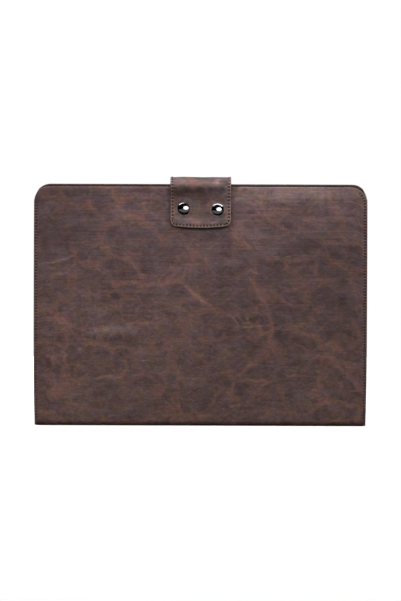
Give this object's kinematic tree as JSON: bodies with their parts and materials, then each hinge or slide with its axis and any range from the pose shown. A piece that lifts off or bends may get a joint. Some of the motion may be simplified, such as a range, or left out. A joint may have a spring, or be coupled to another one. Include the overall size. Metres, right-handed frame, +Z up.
{
  "type": "laptop sleeve",
  "caption": "Slim brown distressed-leather laptop sleeve standing on its folded base, open at the top, with a stitched tab looped over the mouth and held in front by polished snap caps.",
  "frame": {"origin": "middle of the flat base that the sleeve stands on", "axes": "+X to the right across the front, +Y from the front panel to the back panel, +Z up"},
  "size_m": [0.3354, 0.033, 0.2501],
  "materials": {
    "leather": "distressed dark brown, half matt, mottled",
    "chrome": "polished",
    "steel": "plain nickelled",
    "thread": "waxed dark brown thread"
  },
  "bodies": {
    "root": {"leather_wrap": "leather", "closing_tab": "leather", "snap_cap_left": "chrome", "snap_cap_right": "chrome", "snap_stud_left": "steel", "snap_stud_right": "steel"}
  },
  "joints": []
}
